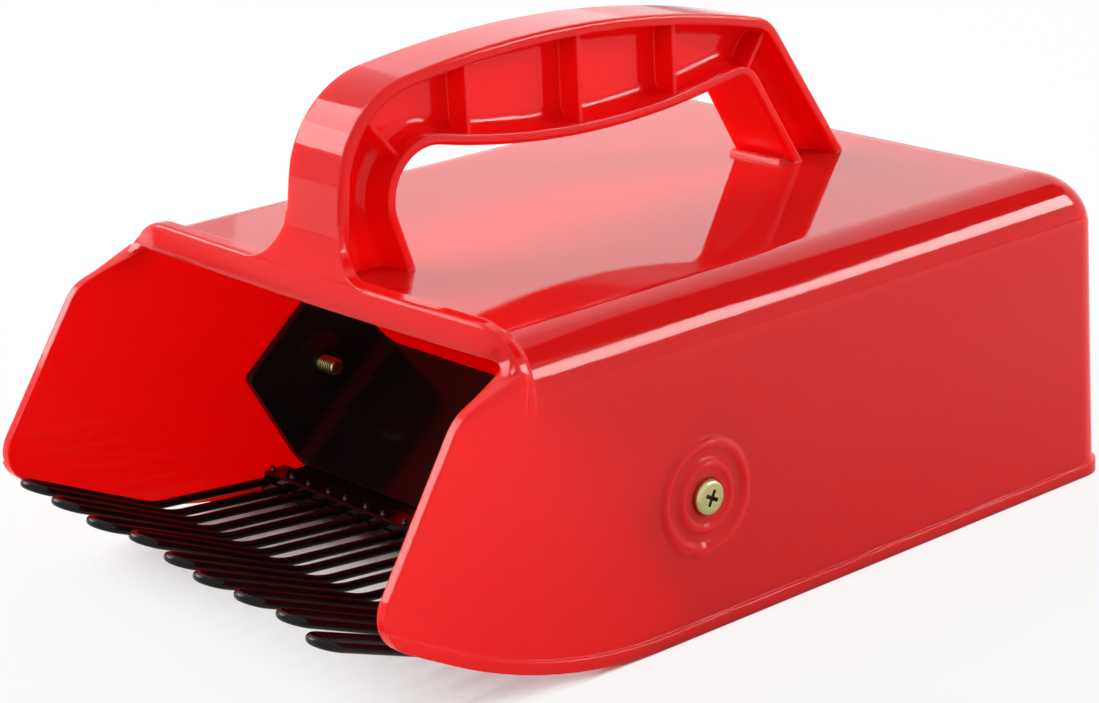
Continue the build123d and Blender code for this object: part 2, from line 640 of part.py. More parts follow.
def make_flap():
    """Gate plate with an ear at each end, folded from one sheet."""
    under = -FLAP_DROP - FLAP_THICK
    cover = make_face(
        Polyline(
            (-EAR_OUTER, EAR_RISE),
            (-EAR_OUTER, under),
            (EAR_OUTER, under),
            (EAR_OUTER, EAR_RISE),
            close=True,
        )
    )
    cover = fillet(cover.vertices().group_by(Axis.Y)[0], FOLD_ROUND + FLAP_THICK)
    room = make_face(
        Polyline(
            (-EAR_INNER, EAR_RISE + 1),
            (-EAR_INNER, -FLAP_DROP),
            (EAR_INNER, -FLAP_DROP),
            (EAR_INNER, EAR_RISE + 1),
            close=True,
        )
    )
    room = fillet(room.vertices().group_by(Axis.Y)[0], FOLD_ROUND)
    along = (0, math.cos(TILT), math.sin(TILT))
    backward = Plane(origin=(0, PIVOT_Y, PIVOT_Z), x_dir=(1, 0, 0), z_dir=[-part for part in along])
    sheet = extrude(backward.offset(-FLAP_REAR) * (cover - room), amount=FLAP_FRONT + FLAP_REAR)
    sideways = Plane(origin=(0, PIVOT_Y, PIVOT_Z), x_dir=along, z_dir=(1, 0, 0))
    ear = make_face(
        Polyline(
            (-FLAP_FRONT, under - 1),
            (-FLAP_FRONT, -FLAP_DROP),
            (-EAR_TOP_FRONT, EAR_RISE),
            (FLAP_REAR, EAR_RISE),
            (FLAP_REAR, under - 1),
            close=True,
        )
    )
    ear = fillet([v for v in ear.vertices() if v.Y > 0 and v.X < 0], EAR_TOP_ROUND)
    rear_corner = [v for v in ear.vertices() if v.Y > EAR_RISE - 0.01 and v.X > FLAP_REAR - 0.01]
    ear = fillet(rear_corner, EAR_REAR_ROUND)
    flap = sheet & extrude(sideways.offset(-ROOF_WIDTH) * ear, amount=2 * ROOF_WIDTH)
    boss = Rot(0, -90, 0) * Cone(EAR_BOSS_RADIUS, EAR_BOSS_TOP_RADIUS, EAR_BOSS_HEIGHT)
    flap = flap + both_sides(Pos(EAR_INNER - EAR_BOSS_HEIGHT / 2, PIVOT_Y, PIVOT_Z) * boss)
    return flap - both_sides(along_x(SCREW_RADIUS + FIXED_FIT, EAR_INNER - BEYOND, EAR_OUTER + 1))


def make_screw():
    """Right-hand pivot screw with a pan head and a cross recess."""
    seat = half_width(PIVOT_Z) + SIDE_GAP
    tip = seat - SCREW_LENGTH
    head_top = seat + SCREW_HEAD_HEIGHT
    outline = [
        (tip, 0),
        (tip, SCREW_RADIUS - SCREW_POINT),
        (tip + SCREW_POINT, SCREW_RADIUS),
        (seat, SCREW_RADIUS),
        (seat, SCREW_HEAD_RADIUS),
        (head_top, SCREW_HEAD_RADIUS),
        (head_top, 0),
    ]
    half = Plane.XY * make_face(Polyline(*outline, close=True))
    screw = revolve(half, axis=Axis.X)
    rim = [e for e in screw.edges() if abs(e.center().X - head_top) < 0.01 and e.geom_type == GeomType.CIRCLE]
    screw = fillet(rim, SCREW_HEAD_ROUND)
    for turned in (RECESS_TURN, RECESS_TURN + 90):
        slot = Box(2 * RECESS_DEPTH, RECESS_SPAN, RECESS_WIDTH)
        screw = screw - Pos(head_top, 0, 0) * Rot(turned, 0, 0) * slot
    return Pos(0, PIVOT_Y, PIVOT_Z) * screw


trim = across_x(side_view(), -ROOF_WIDTH, ROOF_WIDTH)
right_screw = make_screw()
parts = {
    "body_shell": make_body(),
    "bottom_plate": make_plate(),
    "flap": make_flap(),
    "pivot_screw_left": mirror(right_screw, about=Plane.YZ),
    "pivot_screw_right": right_screw,
    "comb_lower_strip": make_lower_strip(),
    "comb_clamp_strip": make_clamp(),
}
for number, place in enumerate(tine_places()):
    parts[f"tine_{number + 1}"] = make_tine(place, TINE_REACHES[number], TINE_RISE_ANGLES[number])

# The frame's origin lies on the floor under the middle of the whole length
middle = (back_place(0) + RIM_PROUD - max(TINE_REACHES)) / 2
for name, part in parts.items():
    export_step(Pos(0, -middle, 0) * part, f"parts/{name}.step")
    print(name, round(part.volume, 1), len(part.solids()))
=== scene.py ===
import logging
import math
from dataclasses import dataclass
from enum import Enum
from typing import Any, Optional, Union

import bpy
from mathutils import Matrix, Vector


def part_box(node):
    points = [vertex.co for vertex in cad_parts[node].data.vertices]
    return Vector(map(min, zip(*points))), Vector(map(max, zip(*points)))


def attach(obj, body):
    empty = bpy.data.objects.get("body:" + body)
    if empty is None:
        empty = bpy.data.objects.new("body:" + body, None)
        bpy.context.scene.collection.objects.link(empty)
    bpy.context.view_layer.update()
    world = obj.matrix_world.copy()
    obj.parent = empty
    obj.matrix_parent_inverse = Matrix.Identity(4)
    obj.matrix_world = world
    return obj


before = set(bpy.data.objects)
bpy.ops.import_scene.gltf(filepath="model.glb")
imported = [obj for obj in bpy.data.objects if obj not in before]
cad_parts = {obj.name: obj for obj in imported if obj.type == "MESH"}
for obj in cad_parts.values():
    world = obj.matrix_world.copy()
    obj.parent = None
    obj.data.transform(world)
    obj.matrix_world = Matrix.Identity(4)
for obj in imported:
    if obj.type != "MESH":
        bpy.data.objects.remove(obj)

# Berry picker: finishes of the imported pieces, the ends of the wires, the thread of the pivot screws
# and a small white studio. Lengths are metres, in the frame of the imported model.

LOG = logging.getLogger("berry_picker")
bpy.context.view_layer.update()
MM = 0.001
WHITE = (1.0, 1.0, 1.0, 1.0)
SHARP_ANGLE = math.radians(40.0)
BEVEL_SAMPLES = 6
SHADE_SAMPLES = 8

# Sockets of a Mix node that mixes colours
MIX_SHARE = 0
MIX_FIRST = 6
MIX_SECOND = 7
MIX_RESULT = 2

Triple = tuple[float, float, float]
Colour = Triple
Number = Union[int, float]
Key = Union[int, str]
Stops = tuple[tuple[float, float], tuple[float, float]]


class Body(Enum):
    """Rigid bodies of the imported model."""

    PICKER = "picker"
    GATE = "gate"


class Slot(Enum):
    """Material slot names for the added pieces; this script does not use them."""

    ZINC = "yellow_zinc"
    WIRE = "black_wire"


class Link:
    """Output of a shader node that takes part in Python arithmetic."""

    def __init__(self, board: "Board", socket: Optional[bpy.types.NodeSocket]) -> None:
        """Keeps a node's output, if it has one, and the board it lies on."""
        self.board = board
        self.socket = socket

    def _math(self, operation: str, first: Any, second: Any) -> "Link":
        """Adds a Math node and hands back its result."""
        return self.board.add("ShaderNodeMath", {"operation": operation}, {0: first, 1: second})

    def __add__(self, other: Union["Link", Number]) -> "Link":
        """Sum of two values."""
        return self._math("ADD", self, other)

    def __radd__(self, other: Number) -> "Link":
        """Sum with a plain number on the left."""
        return self._math("ADD", other, self)

    def __sub__(self, other: Union["Link", Number]) -> "Link":
        """Difference of two values."""
        return self._math("SUBTRACT", self, other)

    def __rsub__(self, other: Number) -> "Link":
        """Difference with a plain number on the left."""
        return self._math("SUBTRACT", other, self)

    def __mul__(self, other: Union["Link", Number]) -> "Link":
        """Product of two values."""
        return self._math("MULTIPLY", self, other)

    def __rmul__(self, other: Number) -> "Link":
        """Product with a plain number on the left."""
        return self._math("MULTIPLY", other, self)

    def at_least(self, other: Union["Link", Number]) -> "Link":
        """Larger of two values."""
        return self._math("MAXIMUM", self, other)

    def below(self, other: Union["Link", Number]) -> "Link":
        """1 where the value is smaller than another, else 0."""
        return self._math("LESS_THAN", self, other)


class Board:
    """Node tree that is filled through one method."""

    def __init__(self, tree: bpy.types.NodeTree) -> None:
        """Empties the node tree of a material or a world and keeps it."""
        self.tree = tree
        self.tree.nodes.clear()

    def add(
        self,
        kind: str,
        settings: Optional[dict[str, Any]] = None,
        inputs: Optional[dict[Key, Any]] = None,
        output: Key = 0,
    ) -> Link:
        """Adds one node, sets it and joins its inputs.

        Args:
            kind: Type name of the node.
            settings: Properties set before the inputs; "stops" fills a colour ramp.
            inputs: Value or link for each input, by name or number.
            output: Output that is handed back, by name or number.

        Returns:
            The chosen output.
        """
        node = self.tree.nodes.new(kind)
        for key, value in (settings or {}).items():
            if key == "stops":
                self._fill_ramp(node.color_ramp, value)
            else:
                setattr(node, key, value)
        for key, value in (inputs or {}).items():
            if isinstance(value, Link):
                self.tree.links.new(value.socket, node.inputs[key])
            else:
                node.inputs[key].default_value = value
        if not node.outputs:
            return Link(self, None)
        return Link(self, node.outputs[output])

    @staticmethod
    def _fill_ramp(ramp: bpy.types.ColorRamp, stops: Stops) -> None:
        """Sets the grey stops of a ramp.

        Args:
            ramp: Colour ramp of a node.
            stops: Place and grey value of both stops.
        """
        for element, (place, grey) in zip(ramp.elements, stops):
            element.position = place
            element.color = (grey, grey, grey, 1.0)

    def noise(self, scale: float, detail: float, stretch: Triple = (1.0, 1.0, 1.0)) -> Link:
        """Noise over the object's own coordinates.

        Args:
            scale: Cells per metre.
            detail: Number of finer layers.
            stretch: Factor on each axis of the pattern.

        Returns:
            A value about 0.5.
        """
        place = self.add("ShaderNodeTexCoord", output="Object")
        turned = self.add("ShaderNodeMapping", None, {"Vector": place, "Scale": stretch})
        return self.add("ShaderNodeTexNoise", None, {"Vector": turned, "Scale": scale, "Detail": detail})

    def ramp(self, value: Link, stops: Stops) -> Link:
        """Grey value that a ramp with two stops gives for a value."""
        return self.add("ShaderNodeValToRGB", {"stops": stops}, {"Fac": value})

    def blend(self, share: Link, first: Union[Link, Colour], second: Colour) -> Link:
        """Mix of two colours.

        Args:
            share: Share of the second colour.
            first: Colour at 0, plain or varying.
            second: Colour at 1.

        Returns:
            The mixed colour.
        """
        start = first if isinstance(first, Link) else (*first, 1.0)
        values = {MIX_SHARE: share, MIX_FIRST: start, MIX_SECOND: (*second, 1.0)}
        return self.add("ShaderNodeMix", {"data_type": "RGBA"}, values, MIX_RESULT)

    def higher(self, low: float, high: float) -> Link:
        """Mask that rises with the object's own height.

        Args:
            low: Height in metres where it is still 0.
            high: Height in metres where it reaches 1.

        Returns:
            The mask.
        """
        place = self.add("ShaderNodeTexCoord", output="Object")
        height = self.add("ShaderNodeSeparateXYZ", None, {"Vector": place}, "Z")
        values = {"Value": height, "From Min": low, "From Max": high}
        return self.add("ShaderNodeMapRange", {"interpolation_type": "SMOOTHSTEP"}, values)

    def bump(self, height: Link, strength: float, depth: float, edge: float) -> Link:
        """Bump on a surface whose sharp edges are eased.

        Args:
            height: Height pattern.
            strength: Strength of the bump.
            depth: Depth of the pattern in metres.
            edge: Radius of the eased edges in metres.

        Returns:
            The normal.
        """
        eased = self.add("ShaderNodeBevel", {"samples": BEVEL_SAMPLES}, {"Radius": edge})
        values = {"Height": height, "Strength": strength, "Distance": depth, "Normal": eased}
        return self.add("ShaderNodeBump", None, values)

    def surface(self, **inputs: Any) -> None:
        """Ends the tree in a Principled shader.

        Args:
            **inputs: Values or links by input name, with underscores for blanks.
        """
        named = {key.replace("_", " "): value for key, value in inputs.items()}
        shader = self.add("ShaderNodeBsdfPrincipled", None, named)
        self.add("ShaderNodeOutputMaterial", None, {"Surface": shader})


def new_material(name: str) -> tuple[bpy.types.Material, Board]:
    """Makes an empty node material.

    Args:
        name: Name of the material.

    Returns:
        The material and its board.
    """
    material = bpy.data.materials.new(name)
    material.use_nodes = True
    return material, Board(material.node_tree)


@dataclass(frozen=True)
class MouldedPlastic:
    """Glossy injection-moulded plastic with faint flow marks, handling scuffs and, where a shade colour
    is given, painted shade that darkens it above a height.
    """

    name: str
    colour: Colour
    flow_colour: Colour
    gloss: float
    scuff: float
    glow: float
    glow_depth: float
    edge: float
    upper_shade_colour: Optional[Colour] = None
    upper_shade_from: float = 0.0
    upper_shade_to: float = 1.0
    flow_scale: float = 18.0
    flow_detail: float = 3.0
    flow_stretch: Triple = (1.0, 0.45, 1.6)
    flow_stops: Stops = ((0.3, 0.0), (0.7, 1.0))
    speck_scale: float = 420.0
    speck_detail: float = 2.0
    speck_share: float = 0.02
    rub_scale: float = 65.0
    rub_detail: float = 5.0
    rub_stops: Stops = ((0.52, 0.0), (0.75, 1.0))
    grain_scale: float = 900.0
    grain_share: float = 0.25
    swell_scale: float = 45.0
    bump_detail: float = 1.0
    bump_strength: float = 0.04
    bump_depth: float = 0.4 * MM
    refraction: float = 1.45
    shine: float = 0.27
    glow_reach: Triple = (1.0, 0.06, 0.05)

    def make(self) -> bpy.types.Material:
        """Builds the material.

        Returns:
            The finished material.
        """
        material, board = new_material(self.name)
        flow = board.noise(self.flow_scale, self.flow_detail, self.flow_stretch)
        flow = board.ramp(flow, self.flow_stops)
        speck = board.noise(self.speck_scale, self.speck_detail)
        rubbed = board.ramp(board.noise(self.rub_scale, self.rub_detail), self.rub_stops)
        grain = board.noise(self.grain_scale, self.bump_detail) * self.grain_share
        grain = grain + board.noise(self.swell_scale, self.bump_detail)
        tone = board.blend(flow, self.colour, self.flow_colour)
        # Painted shade: the moulding turns darker from a given height up, over the handle.
        if self.upper_shade_colour:
            tone = board.blend(board.higher(self.upper_shade_from, self.upper_shade_to), tone, self.upper_shade_colour)
        board.surface(
            Base_Color=tone,
            Roughness=self.gloss + speck * self.speck_share + rubbed * self.scuff,
            IOR=self.refraction,
            Specular_IOR_Level=self.shine,
            Subsurface_Weight=self.glow,
            Subsurface_Radius=self.glow_reach,
            Subsurface_Scale=self.glow_depth,
            Normal=board.bump(grain, self.bump_strength, self.bump_depth, self.edge),
        )
        return material


@dataclass(frozen=True)
class BlackCoating:
    """Thick glossy black coating on wire and strip steel, with a slight orange peel."""

    name: str
    colour: Colour
    gloss: float
    edge: float
    shine: float
    worn_gain: Triple = (1.8, 1.7, 1.7)
    patch_scale: float = 120.0
    patch_detail: float = 3.0
    peel_scale: float = 700.0
    peel_detail: float = 1.0
    dull_scale: float = 240.0
    dull_detail: float = 4.0
    dull_stops: Stops = ((0.55, 0.0), (0.8, 1.0))
    dull_share: float = 0.12
    bump_strength: float = 0.08
    bump_depth: float = 0.2 * MM
    refraction: float = 1.5

    def make(self) -> bpy.types.Material:
        """Builds the material.

        Returns:
            The finished material.
        """
        material, board = new_material(self.name)
        patch = board.noise(self.patch_scale, self.patch_detail)
        peel = board.noise(self.peel_scale, self.peel_detail)
        dull = board.ramp(board.noise(self.dull_scale, self.dull_detail), self.dull_stops)
        worn = tuple(value * gain for value, gain in zip(self.colour, self.worn_gain))
        board.surface(
            Base_Color=board.blend(patch, self.colour, worn),
            Roughness=self.gloss + dull * self.dull_share,
            IOR=self.refraction,
            Specular_IOR_Level=self.shine,
            Normal=board.bump(peel, self.bump_strength, self.bump_depth, self.edge),
        )
        return material


@dataclass(frozen=True)
class YellowZinc:
    """Yellow zinc plating with a faint green tint, turning marks and painted shade in the cross recess.
    """

    name: str
    colour: Colour
    tint: Colour
    recess_shade: Colour
    axis_y: float
    axis_z: float
    head_top: float
    recess_reach: float = 2.1 * MM
    recess_lip: float = 0.25 * MM
    recess_depth: float = 4.2 * MM
    cloud_scale: float = 380.0
    cloud_detail: float = 3.0
    cloud_stops: Stops = ((0.35, 0.0), (0.65, 1.0))
    ring_scale: float = 900.0
    ring_distortion: float = 0.6
    gloss: float = 0.2
    cloud_share: float = 0.14
    recess_shade_roughness: float = 0.4
    recess_shade_dullness: float = 0.7
    bump_strength: float = 0.12
    bump_depth: float = 0.1 * MM
    edge: float = 0.2 * MM

    def make(self) -> bpy.types.Material:
        """Builds the material.

        Returns:
            The finished material.
        """
        material, board = new_material(self.name)
        cloud = board.ramp(board.noise(self.cloud_scale, self.cloud_detail), self.cloud_stops)
        place = board.add("ShaderNodeTexCoord", output="Object")
        centre = (0.0, -self.axis_y, -self.axis_z)
        turned = board.add("ShaderNodeMapping", None, {"Vector": place, "Location": centre})
        rings = board.add(
            "ShaderNodeTexWave",
            {"wave_type": "RINGS", "rings_direction": "X"},
            {"Vector": turned, "Scale": self.ring_scale, "Distortion": self.ring_distortion},
        )
        recess = self._recess(board, turned)
        plating = board.blend(cloud, self.colour, self.tint)
        # Painted shade: the cross recess is darker, less metallic and rougher.
        board.surface(
            Base_Color=board.blend(recess, plating, self.recess_shade),
            Metallic=1.0 - recess * self.recess_shade_dullness,
            Roughness=self.gloss + cloud * self.cloud_share + recess * self.recess_shade_roughness,
            Normal=board.bump(rings, self.bump_strength, self.bump_depth, self.edge),
        )
        return material

    def _recess(self, board: Board, place: Link) -> Link:
        """Mask of the cross recess in the head, where shade is painted.

        Args:
            board: Board of the material.
            place: Coordinates about the screw's axis.

        Returns:
            1 inside the recess, 0 elsewhere.
        """
        out = board.add("ShaderNodeSeparateXYZ", None, {"Vector": place}, "X")
        side = board.add("ShaderNodeSeparateXYZ", None, {"Vector": place}, "Y")
        height = board.add("ShaderNodeSeparateXYZ", None, {"Vector": place}, "Z")
        near = (side * side + height * height).below(self.recess_reach**2)
        deep = (out * out).below((self.head_top - self.recess_lip) ** 2)
        head = (self.head_top - self.recess_depth) ** 2 - out * out
        return near * deep * head.below(0.0)


RED_PLASTIC = MouldedPlastic(
    "red_moulded_plastic",
    (0.97, 0.013, 0.012),
    (0.95, 0.011, 0.010),
    gloss=0.025,
    scuff=0.04,
    glow=1.0,
    glow_depth=9.0 * MM,
    edge=0.7 * MM,
    # painted shade: darker red over the handle, from 76 mm up
    upper_shade_colour=(0.76, 0.008, 0.008),
    upper_shade_from=76.0 * MM,
    upper_shade_to=88.0 * MM,
)
BLACK_PLASTIC = MouldedPlastic(
    "black_moulded_plastic",
    (0.021, 0.018, 0.018),
    (0.027, 0.023, 0.023),
    gloss=0.12,
    scuff=0.08,
    glow=0.0,
    glow_depth=1.0 * MM,
    edge=0.5 * MM,
)
STRIP_COATING = BlackCoating(
    "black_coated_strip",
    (0.009, 0.007, 0.007),
    gloss=0.09,
    edge=0.4 * MM,
    shine=0.35,
)
WIRE_COATING = BlackCoating(
    "black_coated_wire",
    (0.007, 0.006, 0.006),
    gloss=0.06,
    edge=0.3 * MM,
    shine=0.18,
)
END_COATING = BlackCoating(
    "black_coated_wire_end",
    (0.02, 0.018, 0.018),
    gloss=0.07,
    edge=0.2 * MM,
    shine=1.0,
)


def dress(nodes: list[str], material: bpy.types.Material) -> None:
    """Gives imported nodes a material.

    Args:
        nodes: Names of the nodes.
        material: Material for every slot of each node.
    """
    for name in nodes:
        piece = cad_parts[name]
        if not piece.material_slots:
            piece.data.materials.append(material)
        for slot in piece.material_slots:
            slot.material = material
        LOG.info("dressed %s in %s", name, material.name)


class Grower:
    """Geometry tree with named sizes that ends in one plain mesh piece."""

    def __init__(self, name: str, sizes: dict[str, float]) -> None:
        """Makes an empty tree with an input for each size.

        Args:
            name: Name of the tree.
            sizes: Value of each named input.
        """
        self.sizes = sizes
        self.tree = bpy.data.node_groups.new(name, "GeometryNodeTree")
        self.tree.interface.new_socket("Geometry", in_out="OUTPUT", socket_type="NodeSocketGeometry")
        for label in sizes:
            self.tree.interface.new_socket(label, in_out="INPUT", socket_type="NodeSocketFloat")
        self.entry = self.tree.nodes.new("NodeGroupInput")

    def size(self, label: str) -> bpy.types.NodeSocket:
        """Socket of a named size."""
        return self.entry.outputs[label]

    def add(
        self,
        kind: str,
        inputs: dict[Key, Any],
        settings: Optional[dict[str, Any]] = None,
    ) -> bpy.types.NodeSocket:
        """Adds one node, sets it and joins its inputs.

        Args:
            kind: Type name of the node.
            inputs: Value or socket for each input, by name or number.
            settings: Properties set before the inputs.

        Returns:
            The node's first output.
        """
        node = self.tree.nodes.new(kind)
        for key, value in (settings or {}).items():
            setattr(node, key, value)
        for key, value in inputs.items():
            if isinstance(value, bpy.types.NodeSocket):
                self.tree.links.new(value, node.inputs[key])
            else:
                node.inputs[key].default_value = value
        return node.outputs[0]

    def minus(self, label: str) -> bpy.types.NodeSocket:
        """Negative of a named size."""
        return self._times(label, -1.0)

    def twice(self, label: str) -> bpy.types.NodeSocket:
        """Double of a named size."""
        return self._times(label, 2.0)

    def _times(self, label: str, factor: float) -> bpy.types.NodeSocket:
        """A named size times a number."""
        return self.add("ShaderNodeMath", {0: self.size(label), 1: factor}, {"operation": "MULTIPLY"})

    def line(
        self,
        count: int,
        start: bpy.types.NodeSocket,
        step: bpy.types.NodeSocket,
    ) -> bpy.types.NodeSocket:
        """Row of points from a first place, each one step on from the last."""
        return self.add("GeometryNodeMeshLine", {"Count": count, "Start Location": start, "Offset": step})

    def join(self, parts: list[bpy.types.NodeSocket]) -> bpy.types.NodeSocket:
        """Several geometries as one.

        Args:
            parts: Geometries to join.

        Returns:
            The joined geometry.
        """
        node = self.tree.nodes.new("GeometryNodeJoinGeometry")
        for part in parts:
            self.tree.links.new(part, node.inputs[0])
        return node.outputs[0]

    def piece(
        self,
        name: str,
        geometry: bpy.types.NodeSocket,
        material: bpy.types.Material,
    ) -> bpy.types.Object:
        """Ends the tree and keeps its result as a plain mesh.

        Args:
            name: Name of the piece.
            geometry: Geometry that is kept.
            material: Material of the whole piece.

        Returns:
            A mesh object at the origin.
        """
        whole = self.add("GeometryNodeRealizeInstances", {"Geometry": geometry})
        painted = self.add("GeometryNodeSetMaterial", {"Geometry": whole, "Material": material})
        leave = self.tree.nodes.new("NodeGroupOutput")
        self.tree.links.new(painted, leave.inputs["Geometry"])
        piece = bpy.data.objects.new(name, bpy.data.meshes.new(f"{name}_seed"))
        bpy.context.scene.collection.objects.link(piece)
        modifier = piece.modifiers.new("grow", "NODES")
        modifier.node_group = self.tree
        for item in self.tree.interface.items_tree:
            if item.in_out == "INPUT":
                modifier[item.identifier] = self.sizes[item.name]
        ready = piece.evaluated_get(bpy.context.evaluated_depsgraph_get())
        mesh = bpy.data.meshes.new_from_object(ready)
        piece.modifiers.remove(modifier)
        piece.data = mesh
        mesh.name = name
        for polygon in mesh.polygons:
            polygon.use_smooth = True
        mesh.set_sharp_from_angle(angle=SHARP_ANGLE)
        return piece


@dataclass
class Shell:
    """The red moulding and its floor."""

    nodes: tuple[str, ...] = ("body_shell", "bottom_plate")
    finish: MouldedPlastic = RED_PLASTIC

    def build(self) -> None:
        """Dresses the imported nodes."""
        dress(list(self.nodes), self.finish.make())


@dataclass
class Comb:
    """The tines and the bars that clamp them."""

    tine_count: int = 9
    bars: tuple[str, ...] = ("comb_lower_strip", "comb_clamp_strip")
    wire_radius: float = 1.05 * MM
    end_setback: float = 1.9 * MM
    dome_radius: float = 0.8 * MM
    dome_height: float = 0.55 * MM
    rim_height: float = 0.3 * MM
    stem_radius: float = 0.6 * MM
    stem_length: float = 2.0 * MM
    dome_segments: int = 20
    dome_rings: int = 12
    stem_segments: int = 16

    def build(self) -> None:
        """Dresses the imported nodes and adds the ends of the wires."""
        dress(list(self.bars), STRIP_COATING.make())
        dress([f"tine_{number + 1}" for number in range(self.tine_count)], WIRE_COATING.make())
        ends = self._wire_ends(END_COATING.make())
        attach(ends, Body.PICKER.value)
        LOG.info("made %s", ends.name)

    def _wire_ends(self, material: bpy.types.Material) -> bpy.types.Object:
        """Makes the domed ends of the tines' legs, which come up through the clamping bar.

        Args:
            material: Material of the ends.

        Returns:
            One mesh piece with every end.
        """
        clamp_low, clamp_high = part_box("comb_clamp_strip")
        first_low, first_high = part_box("tine_1")
        last_low, last_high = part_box(f"tine_{self.tine_count}")
        first = (first_low.x + first_high.x) / 2
        last = (last_low.x + last_high.x) / 2
        sizes = {
            "First": first,
            "Setback": clamp_low.y + self.end_setback,
            "Top": clamp_high.z,
            "Pitch": (last - first) / (self.tine_count - 1),
            "Spread": first_high.x - first - self.wire_radius,
            "Dome Radius": self.dome_radius,
            "Dome Height": self.dome_height,
            "Rim Height": self.rim_height,
            "Stem Radius": self.stem_radius,
            "Stem Length": self.stem_length,
        }
        grower = Grower("wire_ends_tree", sizes)
        dome = grower.add(
            "GeometryNodeMeshUVSphere",
            {"Segments": self.dome_segments, "Rings": self.dome_rings, "Radius": 1.0},
        )
        width = grower.size("Dome Radius")
        stretch = grower.add(
            "ShaderNodeCombineXYZ",
            {"X": width, "Y": width, "Z": grower.size("Dome Height")},
        )
        dome = grower.add("GeometryNodeTransform", {"Geometry": dome, "Scale": stretch})
        rim = grower.add(
            "GeometryNodeMeshCylinder",
            {"Vertices": self.dome_segments, "Radius": width, "Depth": grower.size("Rim Height")},
        )
        stem = grower.add(
            "GeometryNodeMeshCylinder",
            {
                "Vertices": self.stem_segments,
                "Radius": grower.size("Stem Radius"),
                "Depth": grower.size("Stem Length"),
            },
        )
        wire_end = grower.join([dome, rim, stem])
        pair_start = grower.add("ShaderNodeCombineXYZ", {"X": grower.minus("Spread")})
        pair_step = grower.add("ShaderNodeCombineXYZ", {"X": grower.twice("Spread")})
        pair = grower.line(2, pair_start, pair_step)
        row_start = grower.add(
            "ShaderNodeCombineXYZ",
            {"X": grower.size("First"), "Y": grower.size("Setback"), "Z": grower.size("Top")},
        )
        row_step = grower.add("ShaderNodeCombineXYZ", {"X": grower.size("Pitch")})
        row = grower.line(self.tine_count, row_start, row_step)
        pairs = grower.add("GeometryNodeInstanceOnPoints", {"Points": pair, "Instance": wire_end})
        rows = grower.add("GeometryNodeInstanceOnPoints", {"Points": row, "Instance": pairs})
        return grower.piece("wire_ends", rows, material)


@dataclass
class Gate:
    """The flap and its two pivot screws, with the thread on their free ends."""

    thread_pitch: float = 0.7 * MM
    thread_rise: float = 0.16 * MM
    bare_end: float = 0.7 * MM
    shank_radius: float = 2.0 * MM
    ear_depth: float = 3.3 * MM
    turn_steps: int = 28
    profile_steps: int = 6
    zinc_colour: Colour = (0.62, 0.57, 0.27)
    zinc_tint: Colour = (0.47, 0.56, 0.23)
    # painted shade for the screws' cross recess
    recess_shade_colour: Colour = (0.05, 0.035, 0.012)

    def build(self) -> None:
        """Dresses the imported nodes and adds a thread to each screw."""
        dress(["flap"], BLACK_PLASTIC.make())
        low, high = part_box("pivot_screw_right")
        axis_y = (low.y + high.y) / 2
        axis_z = (low.z + high.z) / 2
        plating = YellowZinc(
            "yellow_zinc_plating",
            self.zinc_colour,
            self.zinc_tint,
            self.recess_shade_colour,
            axis_y=axis_y,
            axis_z=axis_z,
            head_top=high.x,
        )
        zinc = plating.make()
        dress(["pivot_screw_left", "pivot_screw_right"], zinc)
        thread_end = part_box("flap")[1].x - self.ear_depth
        for name, turn in (("left", math.pi), ("right", 0.0)):
            piece = self._thread(f"pivot_thread_{name}", low.x + self.bare_end, thread_end, zinc)
            around = Matrix.Rotation(turn, 4, "Z")
            piece.data.transform(Matrix.Translation((0.0, axis_y, axis_z)) @ around)
            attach(piece, Body.GATE.value)
            LOG.info("made %s", piece.name)

    def _thread(
        self,
        name: str,
        start: float,
        end: float,
        material: bpy.types.Material,
    ) -> bpy.types.Object:
        """Makes the ridge of a thread along X.

        Args:
            name: Name of the piece.
            start: Place of the first turn.
            end: Place of the last turn.
            material: Material of the ridge.

        Returns:
            A mesh piece on the X axis.
        """
        sizes = {
            "Turns": (end - start) / self.thread_pitch,
            "Radius": self.shank_radius,
            "Length": end - start,
            "Rise": self.thread_rise,
            "Start": start,
        }
        grower = Grower(f"{name}_tree", sizes)
        radius = grower.size("Radius")
        spiral = grower.add(
            "GeometryNodeCurveSpiral",
            {
                "Resolution": self.turn_steps,
                "Rotations": grower.size("Turns"),
                "Start Radius": radius,
                "End Radius": radius,
                "Height": grower.size("Length"),
            },
        )
        profile = grower.add(
            "GeometryNodeCurvePrimitiveCircle",
            {"Resolution": self.profile_steps, "Radius": grower.size("Rise")},
        )
        ridge = grower.add(
            "GeometryNodeCurveToMesh",
            {"Curve": spiral, "Profile Curve": profile, "Fill Caps": True},
        )
        shift = grower.add("ShaderNodeCombineXYZ", {"X": grower.size("Start")})
        placed = grower.add(
            "GeometryNodeTransform",
            {"Geometry": ridge, "Translation": shift, "Rotation": (0.0, math.pi / 2, 0.0)},
        )
        return grower.piece(name, placed, material)


def direction(turn: float, rise: float) -> Vector:
    """Way from the object to something that stands round it.

    Args:
        turn: Angle in degrees from +X towards +Y.
        rise: Angle in degrees above the floor.

    Returns:
        A way of length 1.
    """
    around = math.radians(turn)
    up = math.radians(rise)
    return Vector((math.cos(up) * math.cos(around), math.cos(up) * math.sin(around), math.sin(up)))


def sheet(name: str, corners: list[Vector], material: bpy.types.Material) -> bpy.types.Object:
    """Makes a flat sheet of the stage.

    Args:
        name: Name of the sheet.
        corners: Its four corners, in order round it.
        material: Material of the sheet.

    Returns:
        The sheet.
    """
    mesh = bpy.data.meshes.new(name)
    mesh.from_pydata([tuple(corner) for corner in corners], [], [(0, 1, 2, 3)])
    mesh.materials.append(material)
    piece = bpy.data.objects.new(name, mesh)
    bpy.context.scene.collection.objects.link(piece)
    return piece


